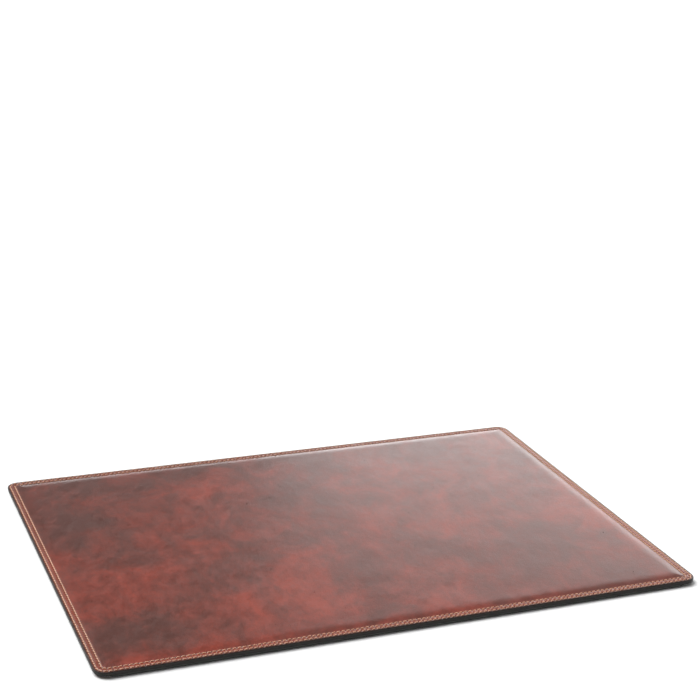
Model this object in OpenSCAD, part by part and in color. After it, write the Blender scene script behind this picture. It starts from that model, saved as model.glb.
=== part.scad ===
// Padded leather desk mat: a stitched sandwich of leather, foam, board and lining on a non-slip pad.
// Origin: centre of the underside. +X runs along the long side, +Y away from the user, +Z up.
// All dimensions are in millimetres.

/* [Mat] */
// Width of the mat, left to right
mat_w = 550; // [300:10:900]
// Depth of the mat, front to back
mat_d = 400; // [250:10:600]
// Corner radius of the leather
corner_r = 11; // [10:0.5:20]

/* [Layers] */
// Thickness of the cover leather
leather_t = 1.4; // [1.2:0.1:2.5]
// Thickness of the foam that raises the centre
padding_t = 0.8; // [0.6:0.1:3]
// Thickness of the stiff board
board_t = 1; // [0.8:0.1:3]
// Thickness of the lining leather under the board
lining_t = 0.8; // [0.6:0.1:1.5]
// Thickness of the non-slip pad
base_t = 2.4; // [1:0.1:4]
// Thickness of the dark paint on the cut edges
coating_t = 0.4; // [0.2:0.1:0.6]

/* [Raised centre] */
// Distance from the edge to the foot of the slope
slope_foot = 9; // [9:0.1:12]
// Width of the slope, seen from above
slope_w = 8; // [3:0.5:12]

/* [Non-slip pad] */
// How far the pad is set in from the straight edges
base_inset = 1.2; // [0.4:0.1:1.5]
// Corner radius of the pad, larger than the leather's
base_corner_r = 22; // [12:1:40]

/* [Stitching] */
// Distance from the edge to the outer row
outer_row = 2.7; // [2.4:0.1:3]
// Distance between the two rows
row_gap = 4.5; // [4:0.1:5]
// Distance from one needle hole to the next
stitch_pitch = 4.3; // [3.4:0.1:6]
// Length of one stitch between its holes
stitch_len = 3.2; // [2:0.1:4.5]
// Thickness of the thread
thread_d = 0.8; // [0.5:0.05:0.9]
// Angle of each stitch across its row, in degrees
stitch_slant = 6; // [0:1:8]
// Width of the crease that each row lies in
crease_w = 1.6; // [1.5:0.1:1.8]

/* [Hidden] */

$fn = 48;
thread_fn = 16;
cut = 1; // how far a cutting shape runs past the face that it opens

inner_row = outer_row + row_gap;
crease_t = thread_d / 2; // each stitch lies half below the surface

// Heights of the layers, from the desk up
lining_z = base_t;
board_z = lining_z + lining_t;
leather_z = board_z + board_t;
rim_z = leather_z + leather_t;

// A rectangle with round corners, set in from the mat's outline, as a plate of thickness t
module plate(inset, r, t) {
    w = mat_w - 2 * inset;
    d = mat_d - 2 * inset;
    linear_extrude(t) {
        square([w - 2 * r, d], center = true);
        square([w, d - 2 * r], center = true);
        for (x = [-1, 1], y = [-1, 1])
            translate([x * (w / 2 - r), y * (d / 2 - r)])
                circle(r);
    }
}

// A rectangular band of width w, t deep, that follows the mat's outline at a distance to its middle
module band(distance, w, t) {
    difference() {
        plate(distance - w / 2, corner_r - distance + w / 2, t);
        translate([0, 0, -cut])
            plate(distance + w / 2, corner_r - distance - w / 2, t + 2 * cut);
    }
}

// The two creases that the stitch rows lie in, open upwards from height z
module creases(z, t) {
    for (row = [outer_row, inner_row])
        translate([0, 0, z])
            band(row, crease_w, t);
}

// A rectangular mound whose four sides slope inwards over slope_w
module mound(foot, z, h) {
    half_w = mat_w / 2 - foot;
    half_d = mat_d / 2 - foot;
    intersection() {
        rotate([90, 0, 0])
            translate([0, z, -half_d])
                linear_extrude(2 * half_d)
                    mound_outline(half_w, h);
        rotate([90, 0, 90])
            translate([0, z, -half_w])
                linear_extrude(2 * half_w)
                    mound_outline(half_d, h);
    }
}

module mound_outline(half, h) {
    polygon([[-half, 0], [half, 0], [half - slope_w, h], [slope_w - half, h]]);
}

// Place on a rounded rectangle at the distance s along it: [x, y, heading in degrees].
// The way round is two equal halves: a long side, a corner, a short side and a corner.
straight_x = mat_w - 2 * corner_r;
straight_y = mat_d - 2 * corner_r;
function corner_len(row) = (corner_r - row) * PI / 2;
function half_len(row) = straight_x + straight_y + 2 * corner_len(row);

function half_place(row, s) =
    let (
        r = corner_r - row,
        corner_x = straight_x / 2,
        corner_y = straight_y / 2,
        end_front = straight_x,
        end_corner = end_front + corner_len(row),
        end_side = end_corner + straight_y,
        turn_1 = (s - end_front) / r * 180 / PI,
        turn_2 = (s - end_side) / r * 180 / PI
    )
    s < end_front ? [s - corner_x, -corner_y - r, 0]
    : s < end_corner ? [corner_x + r * sin(turn_1), -corner_y - r * cos(turn_1), turn_1]
    : s < end_side ? [corner_x + r, s - end_corner - corner_y, 90]
    : [corner_x + r * cos(turn_2), corner_y + r * sin(turn_2), 90 + turn_2];

function row_place(row, s) =
    s < half_len(row) ? half_place(row, s)
    : let (p = half_place(row, s - half_len(row))) [-p[0], -p[1], p[2] + 180];

// One row of stitches all round, with their middles at height z
module stitch_row(row, z, slant) {
    count = round(2 * half_len(row) / stitch_pitch);
    pitch = 2 * half_len(row) / count;
    for (i = [0 : count - 1]) {
        p = row_place(row, (i + 0.5) * pitch);
        translate([p[0], p[1], z])
            rotate([0, 90, p[2] + slant])
                cylinder(h = stitch_len, d = thread_d, center = true, $fn = thread_fn);
    }
}

module top_leather() {
    color("#6e3029")
    difference() {
        union() {
            translate([0, 0, leather_z])
                plate(coating_t, corner_r - coating_t, leather_t);
            mound(slope_foot, rim_z, padding_t);
        }
        mound(slope_foot + leather_t, leather_z, padding_t);
        creases(rim_z - crease_t, crease_t + cut);
    }
}

module padding_sheet() {
    color("#d9cdb8")
    mound(slope_foot + leather_t, leather_z, padding_t);
}

module core_board() {
    color("#8c7355")
    translate([0, 0, board_z])
        plate(coating_t, corner_r - coating_t, board_t);
}

module lining_leather() {
    color("#3a2a24")
    difference() {
        translate([0, 0, lining_z])
            plate(coating_t, corner_r - coating_t, lining_t);
        creases(lining_z - cut, crease_t + cut);
    }
}

module edge_coating() {
    color("#2a211e")
    translate([0, 0, lining_z])
        band(coating_t / 2, coating_t, rim_z - lining_z);
}

module outer_needle_thread() {
    color("#d8a67c")
    stitch_row(outer_row, rim_z, stitch_slant);
}

module inner_needle_thread() {
    color("#d8a67c")
    stitch_row(inner_row, rim_z, stitch_slant);
}

module outer_bobbin_thread() {
    color("#c79a72")
    stitch_row(outer_row, lining_z, -stitch_slant);
}

module inner_bobbin_thread() {
    color("#c79a72")
    stitch_row(inner_row, lining_z, -stitch_slant);
}

module base_pad() {
    color("#2e322f")
    difference() {
        plate(base_inset, base_corner_r, base_t);
        creases(base_t - crease_t, crease_t + cut);
    }
}

top_leather();
padding_sheet();
core_board();
lining_leather();
edge_coating();
outer_needle_thread();
inner_needle_thread();
outer_bobbin_thread();
inner_bobbin_thread();
base_pad();
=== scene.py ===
"""Looks of the leather desk mat: detailed meshes, procedural materials, soft studio light and camera.

Every length is in metres. The mat lies on z = 0 with its centre at the origin, +X to the right, +Y away
from the user and +Z up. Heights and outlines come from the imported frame, and the few sizes that its
boxes can't give are listed below them.
"""
import math

import bpy
import numpy as np
from mathutils import Matrix, Vector


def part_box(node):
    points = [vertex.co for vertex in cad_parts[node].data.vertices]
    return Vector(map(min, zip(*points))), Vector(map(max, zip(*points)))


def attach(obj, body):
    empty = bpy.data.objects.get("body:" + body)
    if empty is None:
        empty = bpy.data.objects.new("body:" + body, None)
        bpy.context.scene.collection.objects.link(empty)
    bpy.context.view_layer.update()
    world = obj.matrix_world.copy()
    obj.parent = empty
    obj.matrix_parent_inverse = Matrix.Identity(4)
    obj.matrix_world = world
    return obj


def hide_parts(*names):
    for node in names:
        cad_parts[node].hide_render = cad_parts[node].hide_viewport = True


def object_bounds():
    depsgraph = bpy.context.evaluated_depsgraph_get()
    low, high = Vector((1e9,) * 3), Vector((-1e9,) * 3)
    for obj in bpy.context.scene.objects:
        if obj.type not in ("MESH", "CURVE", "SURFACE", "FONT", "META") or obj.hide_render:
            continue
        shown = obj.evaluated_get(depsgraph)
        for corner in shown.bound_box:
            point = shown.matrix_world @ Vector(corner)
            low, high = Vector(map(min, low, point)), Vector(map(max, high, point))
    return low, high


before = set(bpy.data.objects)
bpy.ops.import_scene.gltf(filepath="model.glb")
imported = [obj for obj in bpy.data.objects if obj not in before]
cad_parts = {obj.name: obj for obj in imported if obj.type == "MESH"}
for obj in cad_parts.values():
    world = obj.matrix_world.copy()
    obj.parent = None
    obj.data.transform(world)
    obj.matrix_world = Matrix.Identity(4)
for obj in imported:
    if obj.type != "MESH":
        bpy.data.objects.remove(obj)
cad_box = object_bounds()
rng = np.random.default_rng(7)
MM = 0.001

# ---------------------------------------------------------------- sizes read from the frame
HALF_X, HALF_Y = cad_box[1].x, cad_box[1].y
BASE_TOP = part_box("base_pad")[1].z
BASE_INSET = HALF_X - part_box("base_pad")[1].x
BOARD_LOW, BOARD_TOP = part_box("core_board")[0].z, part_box("core_board")[1].z
COVER_INSET = HALF_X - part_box("top_leather")[1].x
RIM_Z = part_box("edge_coating")[1].z
CENTRE_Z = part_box("top_leather")[1].z
PAD_FOOT = HALF_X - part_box("padding_sheet")[1].x
PAD_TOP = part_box("padding_sheet")[1].z
THREAD_R = (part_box("outer_needle_thread")[1].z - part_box("outer_needle_thread")[0].z) / 2

# ---------------------------------------------------------------- sizes that a box can't give
CORNER_R = 11 * MM          # corner radius of the leather
BASE_CORNER_R = 22 * MM     # corner radius of the pad underneath
OUTER_ROW = 2.7 * MM        # from the edge to the outer stitch row
INNER_ROW = 7.2 * MM        # from the edge to the inner stitch row
STITCH_PITCH = 4.3 * MM     # from one needle hole to the next
CREASE_DEPTH = 0.3 * MM     # how far the thread pulls the leather down along a row
HOLE_DEPTH = 0.5 * MM       # the dimple round a needle hole, below the crease
SLOPE_FOOT = 8.2 * MM       # where the leather starts to rise over the padding
SLOPE_SPREAD = 5 * MM       # how slowly it levels out towards the full height
CAP_RING = 4 * MM           # from the last ring of a plate to the grid that closes it


# ================================================================ outlines
class Loop:
    """A rounded rectangle, set in from the mat's edge, with fixed point counts on sides and corners."""

    def __init__(self, nx, ny, nc):
        self.nx, self.ny, self.nc = nx, ny, nc
        self.count = 2 * (nx + ny) + 4 * nc

    def places(self, inset, corner):
        """Points (n, 2) anticlockwise from the left end of the front side, and their outward normals."""
        a, b = HALF_X - inset - corner, HALF_Y - inset - corner
        sides = [
            ((-a, -b), (a, -b), -90, self.nx),
            ((a, -b), (a, b), 0, self.ny),
            ((a, b), (-a, b), 90, self.nx),
            ((-a, b), (-a, -b), 180, self.ny),
        ]
        points, normals = [], []
        for start, end, facing, n in sides:
            along = np.arange(n)[:, None] / n
            turn = np.radians(facing + 90 * np.arange(self.nc) / self.nc)
            out = np.array([math.cos(math.radians(facing)), math.sin(math.radians(facing))])
            arc = np.stack([np.cos(turn), np.sin(turn)], 1)
            centre_line = np.array(start) + along * (np.array(end) - np.array(start))
            points += [centre_line + corner * out, np.array(end) + corner * arc]
            normals += [np.repeat(out[None], n, 0), arc]
        return np.concatenate(points), np.concatenate(normals)


FINE = Loop(960, 688, 32)         # about 0.55 mm apart, for the stitched border
MEDIUM = Loop(240, 172, 8)        # about 2.2 mm apart, for the cut edge and the slope
COARSE = Loop(120, 86, 4)         # about 4.4 mm apart, for the flat centre
SPARSE = Loop(60, 43, 2)          # about 8.8 mm apart, for the cover's hidden underside
LAYER = Loop(120, 86, 12)         # about 4.4 mm apart, with finer corners, for the layers inside
COARSE_PAD = Loop(216, 156, 16)   # about 2.4 mm apart, with finer corners for the pad's large radius


def corner_at(inset, radius=CORNER_R):
    """Corner radius of the outline that lies at this distance inside the edge."""
    return max(radius - inset, 0.6 * MM)


def row_lengths(row):
    """Lengths of one long side, one short side and one corner of a stitch row."""
    return 2 * (HALF_X - CORNER_R), 2 * (HALF_Y - CORNER_R), (CORNER_R - row) * math.pi / 2


def row_total(row):
    """Length of a stitch row all the way round."""
    long_side, short_side, corner = row_lengths(row)
    return 2 * (long_side + short_side) + 4 * corner


def row_pitch(row):
    """The stitch pitch, adjusted so that a whole number of stitches goes round."""
    return row_total(row) / round(row_total(row) / STITCH_PITCH)


def distance_along(loop, row):
    """How far along a stitch row each point of a loop lies, in metres."""
    long_side, short_side, corner = row_lengths(row)
    steps = []
    for length, n in ((long_side, loop.nx), (short_side, loop.ny)) * 2:
        steps += [np.full(n, length / n), np.full(loop.nc, corner / loop.nc)]
    return np.concatenate([[0], np.cumsum(np.concatenate(steps))[:-1]])


def row_place(row, s):
    """Points and headings on a stitch row at distances s along it."""
    long_side, short_side, corner = row_lengths(row)
    radius = CORNER_R - row
    a, b = long_side / 2, short_side / 2
    sides = [
        ((-a, -b), 0, long_side),
        ((a, -b), 90, short_side),
        ((a, b), 180, long_side),
        ((-a, b), 270, short_side),
    ]
    points, heading = np.zeros((len(s), 2)), np.zeros(len(s))
    begin = 0.0
    for start, direction, length in sides:
        along = np.array([math.cos(math.radians(direction)), math.sin(math.radians(direction))])
        out = np.array([along[1], -along[0]])
        on_side = (s >= begin) & (s < begin + length)
        points[on_side] = np.array(start) + out * radius + (s[on_side] - begin)[:, None] * along
        heading[on_side] = math.radians(direction)
        begin += length
        on_corner = (s >= begin) & (s < begin + corner + 1e-9)
        turn = math.radians(direction) + (s[on_corner] - begin) / radius
        centre = np.array(start) + along * length
        points[on_corner] = centre + radius * np.stack([np.sin(turn), -np.cos(turn)], 1)
        heading[on_corner] = turn
        begin += corner
    return points, heading


# ================================================================ mesh building
class Shell:
    """Collects rings of points and the faces between them. Each point has a value and a mark."""

    def __init__(self):
        self.points, self.faces, self.values, self.marks, self.total = [], [], [], [], 0

    def add(self, points, value=0.0, mark=0.0):
        """Adds points (n, 3) with one value and one mark each, and returns their indices."""
        points = np.asarray(points, float)
        first = self.total
        self.points.append(points)
        self.values.append(np.broadcast_to(np.asarray(value, float), (len(points),)))
        self.marks.append(np.broadcast_to(np.asarray(mark, float), (len(points),)))
        self.total += len(points)
        return np.arange(first, self.total)

    def ring(self, loop, inset, z, value=None, mark=0.0):
        """Adds a loop's points at one distance from the edge, with its value in mm unless one is given."""
        flat, _ = loop.places(inset, corner_at(inset))
        heights = np.broadcast_to(z, (loop.count,))
        return self.add(np.column_stack([flat, heights]), inset / MM if value is None else value, mark)

    def take(self, other):
        """Takes over another shell whose indices carry on from this one, with its faces turned over."""
        self.points += other.points
        self.values += other.values
        self.marks += other.marks
        self.faces += [face[::-1] for face in other.faces]
        self.total = other.total

    def join(self, a, b):
        """Quads between two rings of the same count."""
        self.faces += np.stack([a, np.roll(a, -1), np.roll(b, -1), b], 1).tolist()

    def thin_out(self, fine, coarse, ratio):
        """Fans from a fine ring to a coarse one with ratio times fewer points."""
        n = len(fine)
        for j, (c0, c1) in enumerate(zip(coarse, np.roll(coarse, -1), strict=True)):
            edge = [int(fine[(j * ratio + k) % n]) for k in range(ratio + 1)]
            half = ratio // 2
            self.faces += [[edge[k], edge[k + 1], int(c0)] for k in range(half)]
            self.faces.append([edge[half], int(c1), int(c0)])
            self.faces += [[edge[k], edge[k + 1], int(c1)] for k in range(half, ratio)]

    def widen(self, coarse, fine, ratio):
        """The same fans the other way round, from a coarse ring to a fine one inside it."""
        first = len(self.faces)
        self.thin_out(fine, coarse, ratio)
        self.faces[first:] = [face[::-1] for face in self.faces[first:]]

    def cap(self, ring, loop, inset, height):
        """A grid that closes a ring. height(x, y) gives z. loop.nc is even, so a corner has a middle."""
        half = loop.nc // 2
        nx, ny = loop.nx + loop.nc, loop.ny + loop.nc
        x = np.linspace(-1, 1, nx + 1) * (HALF_X - inset)
        y = np.linspace(-1, 1, ny + 1) * (HALF_Y - inset)
        gx, gy = np.meshgrid(x, y, indexing="ij")
        flat = np.column_stack([gx.ravel(), gy.ravel()])
        index = self.add(np.column_stack([flat, height(flat[:, 0], flat[:, 1])]), inset / MM)
        index = index.reshape(nx + 1, ny + 1)
        self.faces += np.stack(
            [index[:-1, :-1], index[1:, :-1], index[1:, 1:], index[:-1, 1:]], -1
        ).reshape(-1, 4).tolist()
        border = np.concatenate([index[:-1, 0], index[-1, :-1], index[:0:-1, -1], index[0, :0:-1]])
        self.join(np.roll(ring, half), border)

    def object(self, name, value_name="edge_mm"):
        """The finished mesh object, with the values and the marks as attributes for its material."""
        mesh = bpy.data.meshes.new(name)
        mesh.from_pydata(np.concatenate(self.points).tolist(), [], self.faces)
        mesh.validate()
        for title, numbers in ((value_name, self.values), ("mark", self.marks)):
            layer = mesh.attributes.new(title, "FLOAT", "POINT")
            layer.data.foreach_set("value", np.concatenate(numbers).astype(np.float32))
        mesh.polygons.foreach_set("use_smooth", [True] * len(mesh.polygons))
        mesh.update()
        piece = bpy.data.objects.new(name, mesh)
        bpy.context.scene.collection.objects.link(piece)
        return piece


def smoothstep(low, high, x):
    """0 below low, 1 above high, and a smooth rise between them."""
    t = np.clip((np.asarray(x, float) - low) / (high - low), 0, 1)
    return t * t * (3 - 2 * t)


def ripple(x, y, seed, wavelength):
    """A smooth random field of about unit size: a few plane waves near one wavelength."""
    field = np.random.default_rng(seed)
    total = np.zeros(np.shape(x))
    waves = 7
    for _ in range(waves):
        angle, phase = field.uniform(0, 2 * math.pi, 2)
        k = 2 * math.pi / (wavelength * field.uniform(0.7, 1.6))
        total += np.sin(k * (np.cos(angle) * x + np.sin(angle) * y) + phase)
    return total / math.sqrt(waves)


# ================================================================ the leather cover
def crease_depth(inset):
    """Depth of the two creases that the thread pulls into the border, less the puff between them."""
    width, puff = 0.6 * MM, 0.12 * MM
    dips = sum(np.exp(-(((inset - row) / width) ** 2)) for row in (OUTER_ROW, INNER_ROW))
    middle, spread = (OUTER_ROW + INNER_ROW) / 2, 1.6 * MM
    return CREASE_DEPTH * dips - puff * math.exp(-(((inset - middle) / spread) ** 2))


def hole_depth(inset, loop):
    """Depth of the dimples round the needle holes, at each point of a loop."""
    across_w, along_w, negligible = 0.72 * MM, 0.55 * MM, 0.02
    total = np.zeros(loop.count)
    for row in (OUTER_ROW, INNER_ROW):
        across = math.exp(-(((inset - row) / across_w) ** 2))
        if across < negligible:
            continue
        pitch = row_pitch(row)
        phase = distance_along(loop, row) / pitch
        along = (phase - np.round(phase)) * pitch
        total += HOLE_DEPTH * across * np.exp(-((along / along_w) ** 2))
    return total


def pucker(inset, loop):
    """Small puffs of leather beside the middle of each stitch, where the thread gathers it."""
    height, spread, negligible = 0.07 * MM, 1.1 * MM, 0.05
    total = np.zeros(loop.count)
    for row, beside in ((OUTER_ROW, 1.5 * MM), (INNER_ROW, -1.4 * MM), (INNER_ROW, 1.5 * MM)):
        across = math.exp(-(((inset - row - beside) / spread) ** 2))
        if across < negligible:
            continue
        phase = distance_along(loop, row) / row_pitch(row)
        uneven = 1 + 0.35 * np.sin(phase * 1.7 + beside / MM) + 0.25 * np.sin(phase * 0.61)
        total -= height * across * uneven * np.cos(2 * math.pi * phase)
    return total


def shoulder(inset):
    """Share of the full rise at a distance from the edge: a soft foot, then a long round shoulder."""
    distance = np.maximum(np.asarray(inset, float) - SLOPE_FOOT, 0)
    return 1 - np.exp(-((distance / SLOPE_SPREAD) ** 1.5))


def cover_height(inset, x, y):
    """Height of the leather's upper face without the stitches' marks."""
    rise = (CENTRE_Z - RIM_Z) * shoulder(inset)
    inside = smoothstep(SLOPE_FOOT + 4 * MM, SLOPE_FOOT + 20 * MM, inset)
    hollow = 0.07 * MM * inside * (1 + ripple(x, y, 3, 90 * MM) / 2)
    waver = 0.03 * MM * inside * ripple(x, y, 5, 34 * MM)
    return RIM_Z + rise - hollow + waver


def cover_ring(shell, loop, inset):
    """One ring of the cover's upper face, with the stitches' marks. Its mark is 1 in a needle hole, where
    the leather's material paints shade.
    """
    flat, _ = loop.places(inset, corner_at(inset))
    z = cover_height(inset, flat[:, 0], flat[:, 1]) - crease_depth(inset)
    holes = hole_depth(inset, loop)
    z += pucker(inset, loop) - holes
    return shell.ring(loop, inset, z, mark=holes / HOLE_DEPTH)


def build_cover():
    """The cover leather: its cut wall, the stitched border, the slope and the flat centre."""
    shell = Shell()
    low, rounding = BOARD_TOP, 0.5 * MM
    edge = [(COVER_INSET, low), (COVER_INSET, low + rounding), (COVER_INSET, RIM_Z - rounding)]
    edge += [
        (COVER_INSET + rounding * (1 - math.cos(t)), RIM_Z - rounding * (1 - math.sin(t)))
        for t in np.radians([30, 60])
    ]
    wall = [shell.ring(MEDIUM, inset, z) for inset, z in edge]
    border = [1.0, 1.5, 1.9, 2.2, 2.5, 2.8, 3.1, 3.5, 4.2, 5, 5.8, 6.4, 6.75, 7.05, 7.35, 7.7, 8.1]
    rings = [cover_ring(shell, FINE, d * MM) for d in border]
    slope = [8.7, 9.5, 10.3, 11.1, 12, 13, 14, 15.2, 16.6, 18.4]
    medium = [cover_ring(shell, MEDIUM, d * MM) for d in slope]
    centre = 25 * MM
    last = cover_ring(shell, COARSE, 21 * MM)
    for chain in (wall, rings, medium):
        for a, b in zip(chain[:-1], chain[1:], strict=True):
            shell.join(a, b)
    shell.widen(wall[-1], rings[0], 4)
    shell.thin_out(rings[-1], medium[0], 4)
    shell.thin_out(medium[-1], last, 2)
    shell.cap(last, COARSE, centre, lambda x, y: cover_height(centre, x, y))
    cover_underside(shell, wall[0])
    return shell.object("cover_leather")


def cover_underside(shell, outer):
    """The face that lies on the board and over the padding, wound the other way."""
    under = Shell()
    under.total = shell.total
    foot, top = PAD_FOOT, PAD_FOOT + 7 * MM
    start = under.ring(COARSE, 2 * MM, BOARD_TOP)
    under.thin_out(outer, start, 2)
    levels = [(foot, BOARD_TOP), (top, PAD_TOP), (top + 3 * MM, PAD_TOP)]
    rings = [under.ring(SPARSE, inset, z) for inset, z in levels]
    under.thin_out(start, rings[0], 2)
    for a, b in zip(rings[:-1], rings[1:], strict=True):
        under.join(a, b)
    under.cap(rings[-1], SPARSE, 26 * MM, lambda x, y: np.full(np.shape(x), PAD_TOP))
    shell.take(under)


# ================================================================ plates with a shaped edge
def build_plate(name, profile, corner_radius, loop=LAYER, waver=0.0):
    """A closed plate. profile lists (inset, z) from the underside, round the edge, to the top."""
    shell = Shell()
    rings = []
    for inset, z in profile:
        corner = corner_at(inset, corner_radius)
        flat, normals = loop.places(inset, corner)
        flat = flat + normals * (waver * ripple(flat[:, 0], flat[:, 1], 11, 40 * MM))[:, None]
        rings.append(shell.add(np.column_stack([flat, np.full(len(flat), z)]), inset / MM))
    for a, b in zip(rings[:-1], rings[1:], strict=True):
        shell.join(a, b)
    bottom, top = profile[0], profile[-1]
    shell.cap(rings[-1], loop, top[0] + CAP_RING, lambda x, y: np.full(np.shape(x), top[1]))
    lower = Shell()
    lower.total = shell.total
    lower.cap(rings[0], loop, bottom[0] + CAP_RING, lambda x, y: np.full(np.shape(x), bottom[1]))
    shell.take(lower)
    return shell.object(name)


def rounded_edge(inset, low, high, radius, steps=3):
    """(inset, z) points up an edge whose two corners are rounded."""
    turns = np.radians(np.linspace(0, 90, steps + 1))
    lower = [(inset + radius * (1 - math.sin(t)), low + radius * (1 - math.cos(t))) for t in turns]
    upper = [(i, low + high - z) for i, z in reversed(lower)]
    return lower + upper


def build_base():
    """The non-slip pad, whose outline wavers a little."""
    edge = rounded_edge(BASE_INSET, 0.0, BASE_TOP, 0.45 * MM)
    inner = BASE_INSET + 8 * MM
    return build_plate(
        "nonslip_pad", [(inner, 0.0), *edge, (inner, BASE_TOP)], BASE_CORNER_R, COARSE_PAD, 0.06 * MM
    )


def build_padding():
    """Foam sheet whose bevelled edge bulges a little."""
    low, high, width = BOARD_TOP, PAD_TOP, 7 * MM
    bevel = [
        (PAD_FOOT + width * t, low + (high - low) * math.sin(t * math.pi / 2) ** 1.2)
        for t in np.linspace(0.05, 1, 7)
    ]
    return build_plate("foam_padding", [(PAD_FOOT + 8 * MM, low), (PAD_FOOT, low), *bevel], CORNER_R)


def build_layer(name, low, high, radius):
    """A hidden flat sheet from one height to another, whose edge is rounded by this radius."""
    edge = rounded_edge(COVER_INSET, low, high, radius)
    inner = COVER_INSET + 8 * MM
    return build_plate(name, [(inner, low), *edge, (inner, high)], CORNER_R)


def build_coating():
    """The band of edge paint: a bead that laps a little over the leather."""
    low, high = BASE_TOP, RIM_Z
    lap, thickness = 1.0 * MM, 0.6 * MM
    outer_face = 0.3    # in mm: points nearer to the edge than this waver
    # Distance from the edge and height above the pad, both in mm
    section = [
        (0.42, 0.05), (0.16, 0.03), (0.04, 0.3), (0.0, 0.9), (0.02, 1.6), (0.0, 2.3), (0.06, 2.85),
        (0.22, 3.13), (0.46, 3.24), (0.75, 3.26),
    ]
    shell = Shell()
    rings = []
    for inset, rise in section:
        flat, normals = MEDIUM.places(inset * MM, corner_at(inset * MM))
        uneven = 0.05 * MM * ripple(flat[:, 0], flat[:, 1], 17, 26 * MM)
        inward = normals * (np.abs(uneven) * (inset < outer_face))[:, None]
        heights = np.full(len(flat), low + rise * MM)
        rings.append(shell.add(np.column_stack([flat - inward, heights]), rise))
    flat, normals = MEDIUM.places(lap, corner_at(lap))
    uneven = 0.18 * MM * ripple(flat[:, 0], flat[:, 1], 19, 30 * MM)
    lip = flat - normals * uneven[:, None]
    rings.append(shell.add(np.column_stack([lip, np.full(len(lip), high - 0.04 * MM)]), 3.2))
    rings.append(shell.ring(MEDIUM, thickness, high - 0.5 * MM, value=3))
    rings.append(shell.ring(MEDIUM, thickness, low + 0.3 * MM, value=0))
    for a, b in zip(rings, rings[1:] + rings[:1], strict=True):
        shell.join(a, b)
    return shell.object("edge_paint", "rise_mm")


# ================================================================ the threads
def build_stitches(name, row, crease_z, side, sides, steps, slant_deg):
    """One row of stitches. side is 1 on the upper face and -1 underneath."""
    gap, dive, rest_height, fullness = 0.52 * MM, 0.95 * MM, 0.95, 1.08
    count = round(row_total(row) / STITCH_PITCH)
    pitch = row_pitch(row)
    shell = Shell()
    t = np.linspace(-1, 1, steps + 1)
    distance = t * (pitch / 2 - gap)
    lift = THREAD_R * rest_height * (1 - np.abs(t) ** 5) - dive * np.abs(t) ** 9
    taper = 1 - 0.22 * np.abs(t) ** 4
    middles, headings = row_place(row, (np.arange(count) + 0.5) * pitch)
    for middle, heading in zip(middles, headings, strict=True):
        slant = math.radians(slant_deg + rng.normal(0, 1.6))
        scale = fullness + rng.normal(0, 0.035)
        along = np.array([math.cos(heading + slant), math.sin(heading + slant), 0])
        shifted = middle + rng.normal(0, 0.05 * MM, 2)
        spine = np.array([*shifted, crease_z]) + distance[:, None] * along
        spine[:, 2] += side * lift * scale
        radius = THREAD_R * scale * taper
        tube, ply_shading = twisted_tube(spine, distance, along, radius, sides, rng.uniform(0, 6.28))
        add_tube(shell, tube, ply_shading, rng.uniform())
    return shell.object(name, "ply")


def twisted_tube(spine, distance, along, radius, sides, first_turn):
    """Rings of points (steps, sides, 3) round a spine that runs along a direction: plies twisted together.
    Also each point's ridge, from 0 between two plies to 1 on top of one, which the thread's material turns
    into painted shade between the plies and a painted highlight on top."""
    plies, twist_per_m = 3, 2 * math.pi / (2.3 * MM)
    around = np.arange(sides) * 2 * math.pi / sides
    across = np.array([-along[1], along[0], 0])
    slope = np.gradient(spine[:, 2], distance)
    up = np.column_stack([-slope[:, None] * along[None, :2], np.ones(len(distance))])
    up /= np.linalg.norm(up, axis=1)[:, None]
    turn = around[None] + (distance * twist_per_m)[:, None] + first_turn
    lobes = np.cos(plies * around)[None]
    out = radius[:, None] * (0.94 + 0.1 * lobes)
    tube = (
        spine[:, None]
        + out[..., None] * np.cos(turn)[..., None] * across
        + out[..., None] * np.sin(turn)[..., None] * up[:, None]
    )
    return tube, np.tile(lobes * 0.5 + 0.5, (len(distance), 1))


def add_tube(shell, tube, ply_shading, tint):
    """A closed tube from rings of points. Its value is the ply's ridge, used for painted shade and
    highlight, plus ten times its tint.
    """
    steps, sides = tube.shape[:2]
    value = (ply_shading + 10 * round(tint, 2)).ravel()
    index = shell.add(tube.reshape(-1, 3), value).reshape(steps, sides)
    after = np.roll(index, -1, 1)
    shell.faces += np.stack([index[:-1], after[:-1], after[1:], index[1:]], -1).reshape(-1, 4).tolist()
    shell.faces.append(index[0, ::-1].tolist())
    shell.faces.append(index[-1].tolist())


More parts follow.
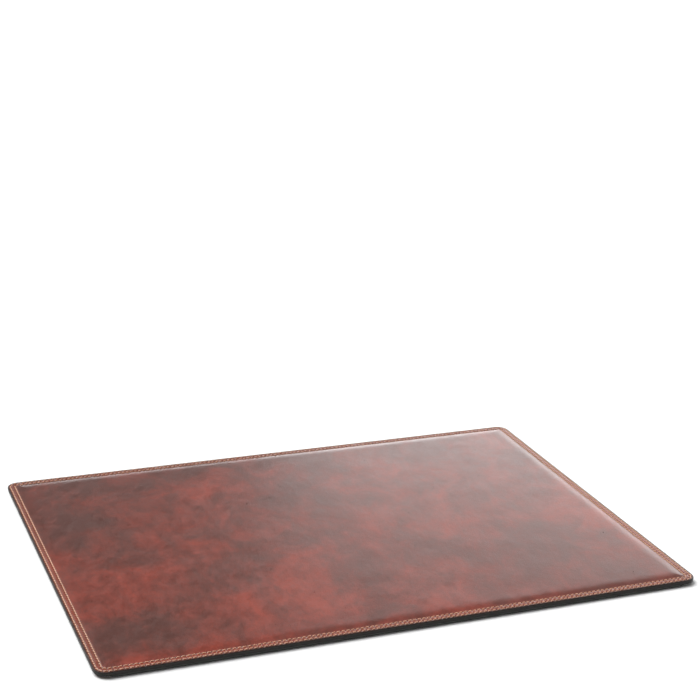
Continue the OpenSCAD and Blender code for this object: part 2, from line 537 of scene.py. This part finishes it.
# ================================================================ node materials
class Nodes:
    """Short calls for building one material's node tree."""

    def __init__(self, name):
        self.material = bpy.data.materials.new(name)
        self.material.use_nodes = True
        self.tree = self.material.node_tree
        self.shader = self.tree.nodes["Principled BSDF"]

    def make(self, kind, inputs=(), **settings):
        """A new node. inputs holds values or sockets by input name or number."""
        node = self.tree.nodes.new(kind)
        for key, value in settings.items():
            setattr(node, key, value)
        for key, value in dict(inputs).items():
            self.put(node.inputs[key], value)
        return node

    def put(self, socket, value):
        if isinstance(value, bpy.types.NodeSocket):
            self.tree.links.new(value, socket)
        else:
            socket.default_value = value

    def coords(self, stretch=(1, 1, 1), turn=0.0):
        """Object coordinates that stretch a pattern along its own axes, then turn it about +Z."""
        spot = self.make("ShaderNodeTexCoord").outputs["Object"]
        inputs = {"Vector": spot, "Scale": stretch, "Rotation": (0, 0, math.radians(turn))}
        return self.make("ShaderNodeMapping", inputs, vector_type="TEXTURE").outputs["Vector"]

    def noise(self, vector, scale, detail=2.0, rough=0.5, distort=0.0):
        """Cloudy noise from 0 to 1, mostly near 0.5. scale is in features per metre."""
        inputs = {"Vector": vector, "Scale": scale, "Detail": detail}
        inputs |= {"Roughness": rough, "Distortion": distort}
        return self.make("ShaderNodeTexNoise", inputs).outputs["Fac"]

    def warp(self, vector, scale, amount):
        """The same coordinates pushed about by a noise, by up to half of the amount in metres."""
        inputs = {"Vector": vector, "Scale": scale, "Detail": 3.0}
        push = self.make("ShaderNodeTexNoise", inputs).outputs["Color"]
        centred = {0: push, 1: (0.5, 0.5, 0.5)}
        push = self.make("ShaderNodeVectorMath", centred, operation="SUBTRACT").outputs[0]
        moved = {0: push, 1: (amount, amount, 0.0), 2: vector}
        return self.make("ShaderNodeVectorMath", moved, operation="MULTIPLY_ADD").outputs[0]

    def spot(self, vector, x, y, reach_x, reach_y):
        """1 in the middle of an ellipse, falling to 0 at its rim."""
        inputs = {"Vector": vector, "Location": (x, y, 0), "Scale": (reach_x, reach_y, 1)}
        inside = self.make("ShaderNodeMapping", inputs, vector_type="TEXTURE").outputs["Vector"]
        ball = self.make("ShaderNodeTexGradient", {"Vector": inside}, gradient_type="SPHERICAL")
        return ball.outputs["Fac"]

    def cells(self, vector, scale, feature="F1"):
        """Distance to the nearest of many scattered points, counted in cells."""
        inputs = {"Vector": vector, "Scale": scale}
        return self.make("ShaderNodeTexVoronoi", inputs, feature=feature).outputs["Distance"]

    def attribute(self, name):
        """One of the numbers that the mesh carries at each point."""
        return self.make("ShaderNodeAttribute", attribute_name=name).outputs["Fac"]

    def sums(self, operation, a, b=0.0, clamp=False):
        """One sum on two numbers or sockets, such as ADD or MULTIPLY."""
        inputs = {0: a, 1: b}
        return self.make("ShaderNodeMath", inputs, operation=operation, use_clamp=clamp).outputs[0]

    def remap(self, value, low, high, to_low=0.0, to_high=1.0):
        """A smooth step from to_low at low to to_high at high."""
        inputs = {"Value": value, "From Min": low, "From Max": high}
        inputs |= {"To Min": to_low, "To Max": to_high}
        node = self.make("ShaderNodeMapRange", inputs, interpolation_type="SMOOTHSTEP")
        return node.outputs["Result"]

    def blend(self, amount, a, b):
        """Colour a where the amount is 0, and colour b where it is 1."""
        node = self.make("ShaderNodeMix", data_type="RGBA", blend_type="MIX")
        self.put(node.inputs[0], amount)
        self.put(node.inputs[6], a if isinstance(a, bpy.types.NodeSocket) else (*a, 1))
        self.put(node.inputs[7], b if isinstance(b, bpy.types.NodeSocket) else (*b, 1))
        return node.outputs[2]

    def ramp(self, value, stops):
        """A colour from a list of (place, colour) stops."""
        node = self.make("ShaderNodeValToRGB", {"Fac": value})
        elements = node.color_ramp.elements
        while len(elements) < len(stops):
            elements.new(0.5)
        for element, (place, colour) in zip(elements, stops, strict=True):
            element.position, element.color = place, (*colour, 1)
        return node.outputs["Color"]

    def bump(self, height, depth, normal=None):
        """A bump of this depth in metres, on top of another normal if one is given."""
        inputs = {"Height": height, "Strength": 1.0, "Distance": depth}
        if normal is not None:
            inputs["Normal"] = normal
        return self.make("ShaderNodeBump", inputs).outputs["Normal"]

    def finish(self, **inputs):
        """Puts the last values on the shader and gives back the material."""
        names = {
            "base": "Base Color",
            "rough": "Roughness",
            "normal": "Normal",
            "specular": "Specular IOR Level",
            "sheen": "Sheen Weight",
        }
        for key, value in inputs.items():
            self.put(self.shader.inputs[names[key]], value)
        return self.material


# Broad stains of the hand dyeing, in mm: middle x and y, reach along x and y, and how much redder
# (or, below 0, darker) the dye is in the middle.
STAINS = [
    (-255, -50, 80, 75, 0.08),
    (-262, 50, 45, 45, -0.09),
    (-75, -145, 120, 60, 0.02),
    (50, -155, 75, 50, 0.05),
    (255, -20, 80, 120, 0.06),
    (-225, -148, 85, 50, -0.10),
    (160, -80, 130, 50, -0.06),
    (130, 60, 70, 50, -0.05),
    (-240, 110, 120, 140, -0.07),
    (60, 190, 330, 75, -0.07),
]
DYE = [
    (0.41, (0.074, 0.021, 0.014)),
    (0.47, (0.108, 0.023, 0.014)),
    (0.53, (0.158, 0.026, 0.0145)),
    (0.61, (0.236, 0.033, 0.016)),
]
EVEN_DYE = (0.130, 0.024, 0.0145)       # the calmer brown of the right half
# Painted shade in the thin creases
CREASE_SHADE = (0.055, 0.015, 0.010)
BORDER = (0.235, 0.050, 0.022)
# Painted shade inside a needle hole
HOLE_SHADE = (0.030, 0.011, 0.008)
BURNT_RIM = (0.030, 0.013, 0.010)


def dye_tone(n, drawn, mottle, flecks):
    """How dark (low) or red (high) the dye is: four sizes of cloud with the broad stains on top."""
    broad = n.noise(drawn, 6, 2, 0.5, 0.6)
    clouds = n.noise(drawn, 19, 5, 0.62, 0.7)
    tone = n.sums("MULTIPLY", broad, 0.25)
    for layer, share in ((clouds, 0.40), (mottle, 0.22), (flecks, 0.13)):
        tone = n.sums("ADD", tone, n.sums("MULTIPLY", layer, share))
    pushed = n.warp(n.coords(), 14, 0.09)
    for x, y, reach_x, reach_y, change in STAINS:
        stain = n.spot(pushed, x * MM, y * MM, reach_x * MM, reach_y * MM)
        tone = n.sums("ADD", tone, n.sums("MULTIPLY", stain, change))
    return tone


def crease_shade_lines(n):
    """Painted shade of thin creases that run slantwise over the leather, in patches: darker lines with no
    bump under them.
    """
    wisps = n.noise(n.coords((1.2, 0.42, 1.0), -50), 75, 5, 0.65, 1.2)
    ply_shading = n.sums("ABSOLUTE", n.sums("SUBTRACT", wisps, 0.5))
    patches = n.remap(n.noise(n.coords(), 16, 2, 0.5), 0.5, 0.68)
    return n.sums("MULTIPLY", n.remap(ply_shading, 0.035, 0.0), patches)


def border_colours(n, colour):
    """Lighter leather between the rows, painted shade in the needle holes and a burnt rim."""
    edge = n.attribute("edge_mm")
    border = n.remap(edge, 9.5, 7.5)
    colour = n.blend(n.sums("MULTIPLY", border, 0.5), colour, BORDER)
    # Painted shade: the leather darkens where the mark is 1, in the needle holes.
    colour = n.blend(n.sums("MULTIPLY", n.attribute("mark"), 1.1, True), colour, HOLE_SHADE)
    return n.blend(n.remap(edge, 2.0, 0.9), colour, BURNT_RIM)


def grain_normal(n, drawn):
    """Soft unevenness of the hide, with fine pores on top."""
    pores = n.cells(n.coords(), 1500)
    grain = n.noise(n.coords(), 2600, 3, 0.6)
    skin = n.sums("ADD", n.sums("MULTIPLY", pores, 0.6), n.sums("MULTIPLY", grain, 0.4))
    return n.bump(skin, 0.05 * MM, n.bump(n.noise(drawn, 70, 3, 0.58), 0.16 * MM))


def leather_material():
    """Hand-burnished brown leather: soft clouds of red and dark brown, fine pores and a waxed gloss."""
    n = Nodes("burnished_leather")
    drawn = n.coords((1.15, 0.8, 1.0), 68)
    mottle = n.noise(drawn, 80, 6, 0.7, 0.5)
    flecks = n.noise(n.coords((1.0, 0.42, 1.0), 78), 300, 4, 0.7, 0.3)
    colour = n.ramp(dye_tone(n, drawn, mottle, flecks), DYE)
    across = n.make("ShaderNodeSeparateXYZ", {0: n.coords()}).outputs["X"]
    colour = n.blend(n.remap(across, -0.15, 0.15, 0.0, 0.3), colour, EVEN_DYE)
    # Painted shade: thin slanting creases darken the leather, with no bump under them.
    colour = n.blend(n.sums("MULTIPLY", crease_shade_lines(n), 0.22), colour, CREASE_SHADE)
    colour = border_colours(n, colour)
    gloss = n.sums("ADD", mottle, n.sums("MULTIPLY", flecks, 0.4))
    rough = n.remap(gloss, 0.4, 1.0, 0.27, 0.38)
    return n.finish(base=colour, rough=rough, normal=grain_normal(n, drawn), specular=0.5)


def thread_material(name, light, dark):
    """Waxed thread with painted shade between its plies and a painted highlight on their ridges, with a
    slightly different tone in each stitch.
    """
    n = Nodes(name)
    value = n.attribute("ply")
    tint = n.sums("FLOOR", value)
    ply_shade_and_highlight = n.sums("FRACT", value)
    tone = n.sums("MULTIPLY", tint, 0.1)
    fibres = n.noise(n.coords(), 5200, 3, 0.7)
    # Painted shade and highlight: dark between the plies, light on their ridges.
    colour = n.blend(n.remap(ply_shade_and_highlight, 0.0, 0.9), dark, light)
    colour = n.blend(n.sums("MULTIPLY", tone, 0.22), colour, dark)
    colour = n.blend(n.sums("MULTIPLY", fibres, 0.3), colour, dark)
    rough = n.remap(fibres, 0.3, 0.7, 0.5, 0.72)
    return n.finish(base=colour, rough=rough, normal=n.bump(fibres, 0.05 * MM), sheen=0.25)


def paint_material():
    """Dark edge paint: nearly black, browner where it laps onto the leather."""
    n = Nodes("edge_paint")
    rise = n.attribute("rise_mm")
    wear = n.noise(n.coords(), 240, 4, 0.6)
    streak = n.noise(n.coords((1, 1, 6)), 900, 3, 0.6)
    colour = n.blend(n.remap(wear, 0.35, 0.7), (0.013, 0.0125, 0.011), (0.028, 0.024, 0.021))
    colour = n.blend(n.remap(rise, 2.7, 3.15), colour, (0.028, 0.011, 0.008))
    rough = n.remap(wear, 0.3, 0.7, 0.42, 0.62)
    normal = n.bump(n.sums("ADD", wear, streak), 0.07 * MM)
    return n.finish(base=colour, rough=rough, normal=normal, specular=0.25)


def rubber_material():
    """Black non-slip pad: finely pebbled, dusty and matte."""
    n = Nodes("nonslip_rubber")
    pebbles = n.cells(n.coords(), 1300, "SMOOTH_F1")
    dust = n.noise(n.coords(), 60, 4, 0.6)
    colour = n.blend(n.remap(dust, 0.35, 0.75), (0.052, 0.056, 0.052), (0.090, 0.096, 0.089))
    rough = n.remap(dust, 0.3, 0.7, 0.72, 0.9)
    return n.finish(base=colour, rough=rough, normal=n.bump(pebbles, 0.12 * MM))


def board_material():
    """Grey-brown pressed fibre board."""
    n = Nodes("fibre_board")
    fibres = n.noise(n.coords((1, 0.2, 0.2), 12), 420, 5, 0.7)
    specks = n.noise(n.coords(), 1600, 2, 0.5)
    colour = n.blend(n.remap(fibres, 0.35, 0.65), (0.20, 0.135, 0.085), (0.30, 0.22, 0.15))
    colour = n.blend(n.remap(specks, 0.62, 0.72), colour, (0.09, 0.06, 0.04))
    rough = n.remap(fibres, 0.3, 0.7, 0.8, 0.95)
    return n.finish(base=colour, rough=rough, normal=n.bump(fibres, 0.08 * MM))


def foam_material():
    """Cream foam with open cells."""
    n = Nodes("foam")
    cells = n.cells(n.coords(), 1100)
    shade = n.noise(n.coords(), 30, 3, 0.5)
    colour = n.blend(n.remap(cells, 0.0, 0.5), (0.50, 0.43, 0.33), (0.68, 0.60, 0.48))
    colour = n.blend(n.sums("MULTIPLY", shade, 0.4), colour, (0.56, 0.46, 0.32))
    rough = n.remap(cells, 0.0, 0.6, 0.85, 0.97)
    return n.finish(base=colour, rough=rough, normal=n.bump(cells, 0.2 * MM))


def lining_material():
    """Thin dark split leather with a brushed nap."""
    n = Nodes("split_leather")
    nap = n.noise(n.coords((1, 0.35, 1), 20), 700, 5, 0.7)
    cloud = n.noise(n.coords(), 25, 3, 0.5)
    colour = n.blend(n.remap(cloud, 0.35, 0.65), (0.022, 0.014, 0.011), (0.042, 0.027, 0.020))
    colour = n.blend(n.sums("MULTIPLY", nap, 0.4), colour, (0.07, 0.046, 0.034))
    rough = n.remap(nap, 0.3, 0.7, 0.75, 0.92)
    return n.finish(base=colour, rough=rough, normal=n.bump(nap, 0.1 * MM), sheen=0.2)


def floor_material():
    """White paper, almost even."""
    n = Nodes("white_paper")
    tooth = n.noise(n.coords(), 40, 3, 0.5)
    colour = n.blend(tooth, (0.86, 0.86, 0.86), (0.88, 0.88, 0.88))
    return n.finish(base=colour, rough=0.9, specular=0.1)


# ================================================================ putting the mat together
def place(piece, material, slot, *nodes):
    """Gives a piece its material, hangs it on the root body and hides the CAD nodes that it replaces. slot
    is not used.
    """
    piece.data.materials.append(material)
    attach(piece, "root")
    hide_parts(*nodes)
    return piece


cover = place(build_cover(), leather_material(), "cover_leather", "top_leather")
padding = place(build_padding(), foam_material(), "padding", "padding_sheet")
board_mesh = build_layer("fibre_board", BOARD_LOW, BOARD_TOP, 0.1 * MM)
board = place(board_mesh, board_material(), "board", "core_board")
lining_mesh = build_layer("lining_leather_sheet", BASE_TOP, BOARD_LOW, 0.2 * MM)
lining = place(lining_mesh, lining_material(), "lining", "lining_leather")
place(build_coating(), paint_material(), "edge_paint", "edge_coating")
base = place(build_base(), rubber_material(), "base_rubber", "base_pad")

CREASE_Z = RIM_Z - CREASE_DEPTH
# Each thread's light colour is its painted highlight on the ply ridges and its dark colour its painted
# shade between them, as well as its tint.
needle = thread_material("needle_thread", (0.95, 0.60, 0.42), (0.56, 0.27, 0.155))
bobbin = thread_material("bobbin_thread", (0.60, 0.40, 0.27), (0.27, 0.14, 0.08))
for which, row in (("outer", OUTER_ROW), ("inner", INNER_ROW)):
    upper = build_stitches(which + "_needle_stitches", row, CREASE_Z, 1, 12, 12, 9)
    place(upper, needle, "needle_thread", which + "_needle_thread")
    lower = build_stitches(which + "_bobbin_stitches", row, BASE_TOP, -1, 6, 8, -9)
    place(lower, bobbin, "bobbin_thread", which + "_bobbin_thread")


# ================================================================ floor, light and camera
def build_floor():
    """A sheet of paper just under the mat."""
    half, z = 9.0, -0.05 * MM
    mesh = bpy.data.meshes.new("floor")
    corners = [(-half, -half, z), (half, -half, z), (half, half, z), (-half, half, z)]
    mesh.from_pydata(corners, [], [(0, 1, 2, 3)])
    floor = bpy.data.objects.new("floor", mesh)
    floor.data.materials.append(floor_material())
    bpy.context.scene.collection.objects.link(floor)


def aim(name, lamp, heading, elevation, distance):
    """Puts a lamp where it faces the mat from a heading (0 is +Y, 90 is +X) and an elevation."""
    h, e = math.radians(heading), math.radians(elevation)
    direction = Vector((math.sin(h) * math.cos(e), math.cos(h) * math.cos(e), math.sin(e)))
    light = bpy.data.objects.new(name, lamp)
    light.location = direction * distance
    light.rotation_mode = "QUATERNION"
    light.rotation_quaternion = direction.to_track_quat("Z", "Y")
    bpy.context.scene.collection.objects.link(light)


def softbox(name, heading, elevation, distance, size, watts):
    """A rectangular light. size is its width and height in metres."""
    lamp = bpy.data.lights.new(name, "AREA")
    lamp.shape = "RECTANGLE"
    lamp.size, lamp.size_y = size
    lamp.energy = watts
    aim(name, lamp, heading, elevation, distance)


def sunlight(name, heading, elevation, spread_deg, strength):
    """An even light over the whole floor, with soft shadows."""
    lamp = bpy.data.lights.new(name, "SUN")
    lamp.energy = strength
    lamp.angle = math.radians(spread_deg)
    aim(name, lamp, heading, elevation, 3)


def build_world(overhead, horizon):
    """A pale room: dim overhead, and bright low down like the white sweep behind a table."""
    dim_from, bright_from = math.radians(16), math.radians(3)
    world = bpy.data.worlds.new("studio")
    world.use_nodes = True
    tree = world.node_tree
    way = tree.nodes.new("ShaderNodeTexCoord")
    parts = tree.nodes.new("ShaderNodeSeparateXYZ")
    glow = tree.nodes.new("ShaderNodeMapRange")
    glow.interpolation_type = "SMOOTHSTEP"
    glow.inputs["From Min"].default_value = math.sin(dim_from)
    glow.inputs["From Max"].default_value = math.sin(bright_from)
    glow.inputs["To Min"].default_value = overhead
    glow.inputs["To Max"].default_value = horizon
    tree.links.new(way.outputs["Generated"], parts.inputs[0])
    tree.links.new(parts.outputs["Z"], glow.inputs["Value"])
    tree.links.new(glow.outputs["Result"], tree.nodes["Background"].inputs["Strength"])
    tree.nodes["Background"].inputs["Color"].default_value = (1, 1, 1, 1)
    bpy.context.scene.world = world


def build_camera():
    """Stands to the left in front of the mat and looks a little downward, past its far corner."""
    place_m = Vector((-0.5205, -1.3471, 0.6651))
    heading, pitch, roll = math.radians(21.52), math.radians(18.40), math.radians(1.65)
    data = bpy.data.cameras.new("camera")
    data.lens, data.sensor_width, data.clip_end = 85.6, 36, 60
    camera = bpy.data.objects.new("camera", data)
    turn = Matrix.Rotation(-heading, 4, "Z") @ Matrix.Rotation(math.pi / 2 - pitch, 4, "X")
    camera.matrix_world = Matrix.Translation(place_m) @ turn @ Matrix.Rotation(roll, 4, "Z")
    bpy.context.scene.collection.objects.link(camera)
    bpy.context.scene.camera = camera


build_floor()
sunlight("key_light", -40, 52, 50, 3.8)
sunlight("overhead_light", 0, 82, 60, 1.0)
softbox("side_softbox", 46, 10.5, 2.3, (2.4, 0.85), 26)
softbox("backdrop_softbox", 10, 3.0, 2.3, (0.75, 0.2), 3.8)
build_world(0.05, 1.3)
build_camera()
bpy.context.scene.view_settings.view_transform = "Standard"
